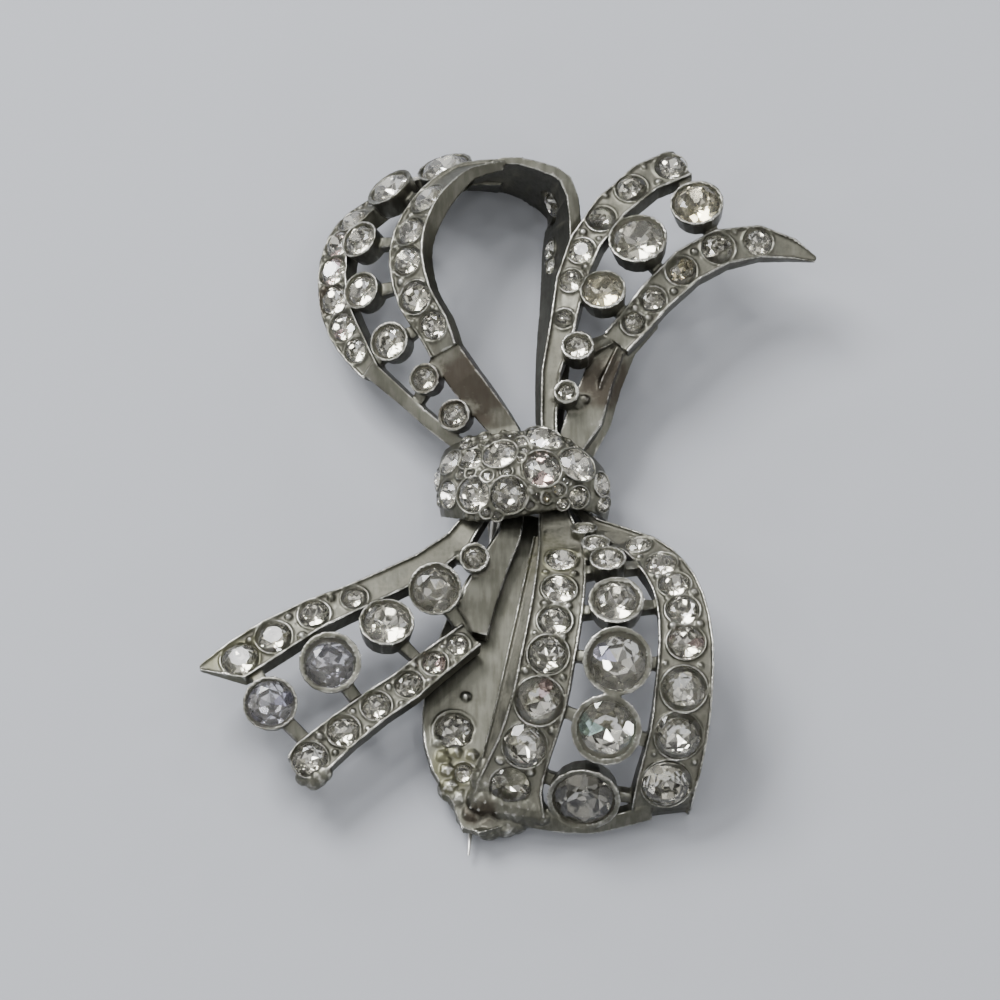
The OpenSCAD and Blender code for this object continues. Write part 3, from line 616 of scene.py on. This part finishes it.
def lumps(node):
    """The beads and lumps that lie on a node, none of which reaches under the table."""
    made = []
    for pixel, radius, sunk in LUMPS.get(node, []):
        point, normal = seen_on(node, pixel)
        middle = point - normal * sunk * MM
        made.append(ball(middle, min(radius * MM, middle.z)))
    return made


# %% [markdown]
# Two pieces end in a sharp point in the frame that is worn round on the real brooch. A rounded bite is
# taken out of each copy before the melting. A bite is a ball that just cuts into the point.

# %% Wear the corners round
BITES = {                 # a ball's middle and its radius
    "lower_loop": (Vector((-4.3, -34.6, 2.4)) * MM, 2.0 * MM),
    "upper_tail": (Vector((14.6, 33.6, 9.9)) * MM, 1.45 * MM),
}


def worn_corner(piece, node):
    """A piece without what lies in the bite at its corner, if it has one."""
    return cut_away(piece, ball(*BITES[node])) if node in BITES else piece


# %% [markdown]
# ## The five castings
# Each casting now goes the same way. Its corner is worn, its seats are opened and its stretches are
# curved. Rings, grains and lumps are laid on it, and then all of that is melted into one skin. The
# knot's stones sit low in it, and the other castings hold their main stones in collets.

# %% Make the castings
castings = {}
for name in FIELDS:
    main = list(main_of(name).values())
    if name == "knot":
        set_low, set_high = main + pave_seats[name] + crumb_seats, []
        rough = cobbles(name, set_low)
    else:
        set_low, set_high = pave_seats[name], main
        rough = grains_between(set_low)
    rough = rough + lumps(name)
    rough = rough + [ring(seat, hand.uniform(*RAIL_RING)) for seat in set_low]
    rough = rough + [ring(seat, hand.uniform(*COLLET_RING)) for seat in set_high]
    whole = worn_corner(merged_copy(name), name)
    rough = [curved(opened(whole, set_high + set_low))] + rough
    piece = melted(joined(rough, name + "_cast"), MOST_TRIANGLES[name])
    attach(piece, "root")
    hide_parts(name)
    castings[name] = piece
    print(piece.name, "rough pieces:", len(rough), "triangles:", triangles(piece))

# %% [markdown]
# ## The pin
# Drawn wire and stamped plate, plain and cleaner than the castings. Its edges are only rubbed, so its
# copy is subdivided with the sharp edges kept, and then bevelled by a hair.

# %% Finish the pin's form
PIN_EDGE = 0.06 * MM
PIN_SMOOTH = math.radians(35)
pin = curved(merged_copy("pin"))
finish_with(pin, "BEVEL", width=PIN_EDGE, segments=2, limit_method="ANGLE", angle_limit=SHARP)
alone(pin)
bpy.ops.object.shade_smooth_by_angle(angle=PIN_SMOOTH)
pin.name = "pin_drawn"
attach(pin, "root")
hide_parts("pin")
print("pin's triangles:", triangles(pin))

# %% [markdown]
# ## Tarnish
# Tarnish stays where a cloth can't reach: in corners, under lips and round the stones. Edges are worn
# bright. To know hollows from edges, a copy of the casting is smoothed far more. Where the real skin
# lies below the smooth one it is a hollow, and where it stands above it is an edge. This is done at two
# scales, a fine one for edges and corners and a broad one for whole channels, and both are stored on
# the mesh as attributes that the metal's material reads.

# %% Find hollows and edges
# For each scale: how many steps of smoothing, and how far over the smooth skin an edge is full
RELIEF_SCALES = {"edge": (20, 0.10 * MM), "channel": (180, 0.35 * MM)}


def read_vectors(mesh, what):
    """The places or the normals of a mesh's vertices, a row for each."""
    values = np.empty(len(mesh.vertices) * 3)
    mesh.vertices.foreach_get(what, values)
    return values.reshape(-1, 3)


def mark_relief(piece):
    """Stores how far each vertex stands over a smoothed skin: 0 in a hollow, 1 on an edge."""
    mesh = piece.data
    here, normals = read_vectors(mesh, "co"), read_vectors(mesh, "normal")
    for name, (steps, depth) in RELIEF_SCALES.items():
        twin = bpy.data.objects.new("smoothed", mesh.copy())
        bpy.context.scene.collection.objects.link(twin)
        finish_with(twin, "SMOOTH", factor=0.7, iterations=steps)
        over = np.sum((here - read_vectors(twin.data, "co")) * normals, axis=1)
        bpy.data.objects.remove(twin)
        relief = mesh.attributes.new(name, "FLOAT", "POINT")
        relief.data.foreach_set("value", np.clip(0.5 + over / (2 * depth), 0, 1).astype(np.float32))
        spread = [round(1000 * float(v), 3) for v in np.percentile(over, (5, 50, 95))]
        print(piece.name, name, "relief in mm:", spread)


for piece in castings.values():
    mark_relief(piece)

# %% [markdown]
# ## Setting the stones
# Every stone is a copy of the pattern stone with a mesh of its own, scaled to its seat and turned to
# look the seat's way. It also has a turn and a slight lean of its own, because no setter lines up
# facets. The small stones of a loop, a tail or the knot are joined into one piece, as in the frame.

# %% Set the stones
STONE_LEAN = 4            # degrees, at most


def set_stone(seat, name):
    """A copy of the pattern stone in one seat."""
    middle, looks, radius = seat
    stone = bpy.data.objects.new(name, pattern_stone.data.copy())
    bpy.context.scene.collection.objects.link(stone)
    spin = Matrix.Rotation(hand.uniform(0, math.tau), 4, "Z")
    lean = Matrix.Rotation(math.radians(hand.uniform(-STONE_LEAN, STONE_LEAN)), 4, "X")
    size = Matrix.Scale(radius, 4)
    stone.data.transform(Matrix.Translation(middle) @ facing(looks) @ lean @ spin @ size)
    return stone


stones = {name: set_stone(seat, name + "_cut") for name, seat in main_seats.items()}
for name, seats in pave_seats.items():
    stones[name + "_pave"] = joined([set_stone(seat, name) for seat in seats], name + "_pave_cut")
for name, stone in stones.items():
    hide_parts(name)
stones["knot_crumbs"] = joined([set_stone(seat, "knot") for seat in crumb_seats], "knot_crumbs_cut")
for stone in stones.values():
    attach(stone, "root")
bpy.data.objects.remove(pattern_stone)
print("stones' triangles:", sum(triangles(stone) for stone in stones.values()))

# %% [markdown]
# ## Reckoning with sockets
# A material's nodes are easier to read as sums. This small class wraps a socket, so that adding or
# multiplying two values adds the Math node that does it. Every other node comes from one method.

# %% Shader helpers
class Reading:
    """A socket's value, which can be added to, taken from and multiplied."""

    def __init__(self, finish, socket):
        self.finish = finish
        self.socket = socket

    def _math(self, operation, first, second):
        return self.finish.node("Math", {"operation": operation}, {0: first, 1: second})

    def __add__(self, other):
        return self._math("ADD", self, other)

    def __sub__(self, other):
        return self._math("SUBTRACT", self, other)

    def __rsub__(self, other):
        return self._math("SUBTRACT", other, self)

    def __mul__(self, other):
        return self._math("MULTIPLY", self, other)

    __radd__ = __add__

    def between(self, low, high):
        """0 below low, 1 above high and a smooth rise between."""
        return self.finish.node("MapRange", {"interpolation_type": "SMOOTHSTEP"},
                                {"Value": self, "From Min": low, "From Max": high})


class Finish:
    """A material, with one way to add a node and one to set a socket of its shader."""

    def __init__(self, name):
        self.material = bpy.data.materials.new(name)
        self.material.use_nodes = True
        self.tree = self.material.node_tree
        self.shader = self.tree.nodes["Principled BSDF"]

    def feed(self, socket, value):
        """Links a socket to a reading, or sets it to a plain value."""
        if isinstance(value, Reading):
            self.tree.links.new(value.socket, socket)
        else:
            socket.default_value = value

    def node(self, kind, settings=None, sockets=None, output=0):
        """A node of one type: its settings first, then the values or links of its sockets."""
        made = self.tree.nodes.new("ShaderNode" + kind)
        for name, value in (settings or {}).items():
            setattr(made, name, value)
        for name, value in (sockets or {}).items():
            self.feed(made.inputs[name], value)
        return Reading(self, made.outputs[output])

    def mix(self, factor, first, second):
        """A colour between two colours."""
        made = self.tree.nodes.new("ShaderNodeMix")
        made.data_type = "RGBA"
        # Several sockets of this node share a name, so the ones for colours go by their numbers
        for socket, value in ((0, factor), (6, first), (7, second)):
            self.feed(made.inputs[socket], value)
        return Reading(self, made.outputs[2])

    def noise(self, place, size, detail):
        """A cloudy value with patches of one size, in metres."""
        return self.node("TexNoise", None, {"Vector": place, "Scale": 1 / size, "Detail": detail})

    def place(self):
        """Where a point lies in the frame, since every piece stands at the origin."""
        return self.node("TexCoord", output="Object")

    def squeezed(self, place, scale):
        """A place that counts for more or less along each axis."""
        return self.node("Mapping", {"vector_type": "POINT"}, {"Vector": place, "Scale": scale})

    def bump(self, depth, strength, height):
        """A normal that reads a height as relief."""
        return self.node("Bump", None, {"Strength": strength, "Distance": depth, "Height": height})

    def set(self, sockets):
        """Sets or links sockets of the shader by name."""
        for name, value in sockets.items():
            self.feed(self.shader.inputs[name], value)

    def coat(self, piece):
        """Gives a piece this material and no other."""
        piece.data.materials.clear()
        piece.data.materials.append(self.material)


# %% [markdown]
# ## Cast metal
# White metal goes grey, not black: a thin warm film on the open faces, pale deposits in the channels,
# dark dirt in the narrow corners, and bright worn edges. The two relief attributes drive that, and
# cloudy noise breaks it up, in patches, specks and long streaks. Some places are far browner or greener
# than the rest, and each of those is a soft round patch at a point of the frame. Most are stains, but
# the patches under the knot and in the hollow under the hem are painted shade, and the one on the upper
# tail's web is dirt and painted shade together. Fine pits go into the bump, because they are far
# smaller than the mesh.

# %% Make the cast metal
FILM_DARK = (0.084, 0.083, 0.067, 1)
FILM_PALE = (0.126, 0.125, 0.104, 1)
WORN = (0.54, 0.535, 0.50, 1)
DEPOSIT = (0.165, 0.160, 0.126, 1)
CREVICE = (0.046, 0.043, 0.032, 1)
BROWN = (0.040, 0.032, 0.025, 1)
OLIVE = (0.090, 0.088, 0.055, 1)
PATCH = 2.2 * MM
SPECK = 0.35 * MM
STREAK = 0.4 * MM
STREAK_SQUEEZE = (1, 0.16, 0.5)   # streaks are long where their noise is squeezed
STAIN_AND_SHADE_SHARE = 0.8
PIT_DEPTH = 0.03 * MM

# Each stain or patch of painted shade: the node, the pixel at which it shows, its radius and its colour
STAINS_AND_PAINTED_SHADE = [
    ("upper_loop", (470, 385), 5.0 * MM, BROWN),
    ("upper_loop", (333, 300), 2.2 * MM, BROWN),
    # dirt and painted shade together: the upper tail's web is darkened for its dirt and for the shade
    # in its recess
    ("upper_tail", (605, 380), 3.5 * MM, BROWN),
    # painted shade: the dark hollow under the rolled hem
    ("lower_loop", (482, 811), 2.0 * MM, BROWN),
    ("lower_loop", (455, 772), 3.2 * MM, OLIVE),
    # painted shade: the knot's shadow on the lower loop's rail
    ("lower_loop", (540, 555), 4.0 * MM, OLIVE),
    ("lower_tail", (236, 660), 3.5 * MM, OLIVE),
]


def cast_metal(name, stains_and_shade):
    """Tarnished cast metal with stains and patches of painted shade, each a point, a radius and a
    colour.
    """
    metal = Finish(name)
    place = metal.place()
    edge = metal.node("Attribute", {"attribute_name": "edge"}, output="Fac")
    channel = metal.node("Attribute", {"attribute_name": "channel"}, output="Fac")
    patches = metal.noise(place, PATCH, 3.0)
    specks = metal.noise(place, SPECK, 4.0)
    streaks = metal.noise(metal.squeezed(place, STREAK_SQUEEZE), STREAK, 3.0)
    worn = (edge + (patches - 0.5) * 0.5 + (specks - 0.5) * 0.2).between(0.66, 1.0)
    hollow = (edge + (specks - 0.5) * 0.3).between(0.45, 0.15)
    deep = (channel + (patches - 0.5) * 0.5 + (specks - 0.5) * 0.3).between(0.50, 0.15)
    dirty = metal.node("Math", {"operation": "MAXIMUM"}, {0: hollow, 1: deep * 0.85})
    dirt = metal.mix(hollow, DEPOSIT, CREVICE)
    film = metal.mix((patches * 0.5 + streaks * 0.5).between(0.38, 0.62), FILM_DARK, FILM_PALE)
    # Each patch pulls the film towards its colour: most are stains, and some are painted shade
    for point, radius, colour in stains_and_shade:
        away = metal.node("VectorMath", {"operation": "DISTANCE"}, {0: place, 1: point}, output="Value")
        stain_and_shade = (away + (patches - 0.5) * radius).between(radius, 0.5 * radius)
        film = metal.mix(stain_and_shade * STAIN_AND_SHADE_SHARE, film, colour)
    metal.set({
        "Base Color": metal.mix(dirty, metal.mix(worn, film, WORN), dirt),
        "Metallic": 1 - dirty * 0.7,
        "Roughness": 0.40 + (specks - 0.5) * 0.22 + dirty * 0.25 - worn * 0.16,
        "Normal": metal.bump(PIT_DEPTH, 0.5, specks * 0.6 + streaks * 0.4),
    })
    return metal


for name, piece in castings.items():
    stains_and_shade = [(seen_on(node, pixel)[0], radius, colour)
              for node, pixel, radius, colour in STAINS_AND_PAINTED_SHADE if node == name]
    cast_metal(name + "_metal", stains_and_shade).coat(piece)

# %% [markdown]
# ## Drawn metal
# The pin is bright wire and plate, dulled in patches, with fine scratches along it.

# %% Make the pin's metal
WIRE_BRIGHT = (0.80, 0.79, 0.76, 1)
WIRE_DULL = (0.50, 0.49, 0.46, 1)
DULL_PATCH = 3 * MM
SCRATCH = 0.5 * MM
SCRATCH_SQUEEZE = (8, 0.5, 8)
SCRATCH_DEPTH = 0.01 * MM


def drawn_metal():
    """Bright wire with fine scratches along it, dulled in patches."""
    metal = Finish("drawn_metal")
    place = metal.place()
    scratches = metal.noise(metal.squeezed(place, SCRATCH_SQUEEZE), SCRATCH, 3.0)
    patches = metal.noise(place, DULL_PATCH, 2.0)
    metal.set({
        "Base Color": metal.mix(patches.between(0.35, 0.7), WIRE_BRIGHT, WIRE_DULL),
        "Metallic": 1.0,
        "Roughness": 0.22 + scratches * 0.2 + patches * 0.1,
        "Normal": metal.bump(SCRATCH_DEPTH, 0.3, scratches),
    })
    return metal


drawn_metal().coat(pin)

# %% [markdown]
# ## Glass and foil
# These stones are glass with a mirror foil on the back. Light goes in through the crown, strikes the
# foiled facets and comes out again somewhere else, and that is all their sparkle. So a stone has two
# finishes on one mesh: clear glass in front, and foil on the faces that look backwards. Old foil has
# yellowed, gone grey or kept a tint, stone by stone, and a facet here and there flashes in a colour.
# Both are written on the mesh as a colour for each facet.

# %% Make the stones' finishes
CLEAR_TINT = (0.98, 0.965, 0.89)
TINTS = {
    "straw": (0.96, 0.92, 0.76),
    "cool": (0.93, 0.93, 1.00),
    "dull": (0.50, 0.49, 0.45),
}
TINTED = {
    "upper_tail_stone_1": "straw",
    "upper_tail_stone_3": "straw",
    "lower_tail_stone_1": "cool",
    "lower_tail_stone_2": "cool",
    "lower_loop_stone_7": "dull",
}
ROSE, GOLD = (1.0, 0.78, 0.77), (1.0, 0.90, 0.64)
AQUA, VIOLET = (0.76, 1.0, 0.95), (0.80, 0.79, 1.0)
# Where a facet may flash in a colour: a pixel, a reach in pixels and the colour
FLASHES = [
    ((543, 695), 12, ROSE), ((535, 706), 8, GOLD), ((608, 650), 11, VIOLET), ((629, 668), 9, ROSE),
    ((593, 722), 13, AQUA), ((588, 736), 8, GOLD), ((545, 478), 12, ROSE), ((550, 494), 9, GOLD),
    ((333, 660), 9, VIOLET), ((284, 704), 9, VIOLET), ((308, 756), 6, VIOLET), ((682, 270), 9, GOLD),
    ((638, 323), 6, ROSE), ((550, 197), 9, VIOLET), ((335, 260), 6, ROSE), ((343, 330), 8, ROSE),
    ((438, 663), 8, ROSE), ((700, 640), 8, ROSE), ((560, 680), 7, VIOLET),
]
FLASH_SHARE = 0.8
FOIL_SHADE = (0.90, 1.0)
BACK_BEGINS = 1.5         # how far under the girdle's middle, in halves of the girdle


def glass():
    """The clear front of a stone."""
    clear = Finish("stone_glass")
    clear.set({
        "Base Color": (0.99, 0.985, 0.97, 1),
        "Roughness": 0.015,
        "IOR": 1.6,
        "Transmission Weight": 1.0,
    })
    return clear


def foil():
    """The mirror behind it, whose tint is read from each facet."""
    mirror = Finish("stone_foil")
    tint = mirror.node("Attribute", {"attribute_name": "foil_tint"})
    mirror.set({"Base Color": tint, "Roughness": 0.06, "Metallic": 0.94})
    return mirror


def foil_tint(node, point):
    """The colour of the foil on one facet of a stone."""
    across, down = shown_at(point)
    for (x, y), reach, colour in FLASHES:
        if math.hypot(across - x, down - y) < reach and hand.random() < FLASH_SHARE:
            return (*colour, 1)
    tint = TINTS[TINTED[node]] if node in TINTED else CLEAR_TINT
    shade = hand.uniform(*FOIL_SHADE)
    return (*(part * shade for part in tint), 1)


crown, back = glass(), foil()
all_seats = list(main_seats.values()) + sum(pave_seats.values(), []) + crumb_seats
for node, stone in stones.items():
    crown.coat(stone)
    mesh = stone.data
    mesh.materials.append(back.material)
    tints = mesh.color_attributes.new("foil_tint", "FLOAT_COLOR", "CORNER")
    centre = sum((face.center for face in mesh.polygons), Vector()) / len(mesh.polygons)
    reach = max((face.center - centre).length for face in mesh.polygons)
    near = [seat for seat in all_seats if (seat[0] - centre).length < reach + seat[2]]
    for face in mesh.polygons:
        middle, looks, radius = min(near, key=lambda seat: (seat[0] - face.center).length / seat[2])
        if (face.center - middle).dot(looks) < -GIRDLE_HALF * radius * BACK_BEGINS:
            face.material_index = 1
        colour = foil_tint(node, face.center)
        for corner in face.loop_indices:
            tints.data[corner].color = colour

# %% [markdown]
# ## The table and the light
# A pale matt surface, a room that is dark and bright in soft clouds, one broad light from the upper
# left and three rings of small panels. The broad light makes the soft shadow and the metal's gradients,
# and the clouds and the panels are what the facets catch.

# %% Lay the table
TABLE_SIZE = 4            # metres
TABLE_COLOUR = (0.335, 0.347, 0.377, 1)

bpy.ops.object.select_all(action="DESELECT")
bpy.ops.mesh.primitive_plane_add(size=TABLE_SIZE)
table = bpy.context.object
table.name = "table"
pale = Finish("pale_table")
pale.set({"Base Color": TABLE_COLOUR, "Roughness": 0.75})
pale.coat(table)

# %% Cloud the room
CLOUD_SCALE = 3.2
CLOUD_DETAIL = 1.0
CLOUD_STOPS = [(0.41, 0.04), (0.58, 1.0)]   # a value of the noise, and how bright the room is there
ROOM_STRENGTH = 0.82

world = bpy.data.worlds.new("soft_room")
bpy.context.scene.world = world
world.use_nodes = True
air = world.node_tree
way = air.nodes.new("ShaderNodeTexCoord")
cloud = air.nodes.new("ShaderNodeTexNoise")
cloud.inputs["Scale"].default_value = CLOUD_SCALE
cloud.inputs["Detail"].default_value = CLOUD_DETAIL
ramp = air.nodes.new("ShaderNodeValToRGB")
for stop, (value, bright) in zip(ramp.color_ramp.elements, CLOUD_STOPS):
    stop.position = value
    stop.color = (bright, bright, bright, 1)
air.links.new(way.outputs["Generated"], cloud.inputs["Vector"])
air.links.new(cloud.outputs["Fac"], ramp.inputs["Fac"])
air.links.new(ramp.outputs["Color"], air.nodes["Background"].inputs["Color"])
air.nodes["Background"].inputs["Strength"].default_value = ROOM_STRENGTH

# %% Hang the lamps
# Places and sizes are in metres and strengths in watts
BROAD_AT = (-0.30, 0.33, 0.52)
BROAD_SIZE, BROAD_WATTS = 0.32, 6.8
PANEL_SIZE, PANEL_WATTS = 0.03, 0.14
# For each ring of panels: how many, how far out, how high, and how much higher each second one is
PANELS = [(8, 0.30, 0.34, 0.12), (6, 0.15, 0.50, 0.06), (11, 0.42, 0.10, 0.10)]


def lamp(name, at, size, watts):
    """A square panel that looks at the brooch."""
    data = bpy.data.lights.new(name, "AREA")
    data.size, data.energy = size, watts
    panel = bpy.data.objects.new(name, data)
    bpy.context.scene.collection.objects.link(panel)
    panel.location = at
    panel.rotation_euler = (-Vector(at)).to_track_quat("-Z", "Y").to_euler()


lamp("broad", BROAD_AT, BROAD_SIZE, BROAD_WATTS)
for row, (count, out, low, step) in enumerate(PANELS):
    for i in range(count):
        turn = math.tau * (i + 0.5) / count
        at = (out * math.cos(turn), out * math.sin(turn), low + step * (i % 2))
        lamp(f"panel_{row}_{i}", at, PANEL_SIZE, PANEL_WATTS)
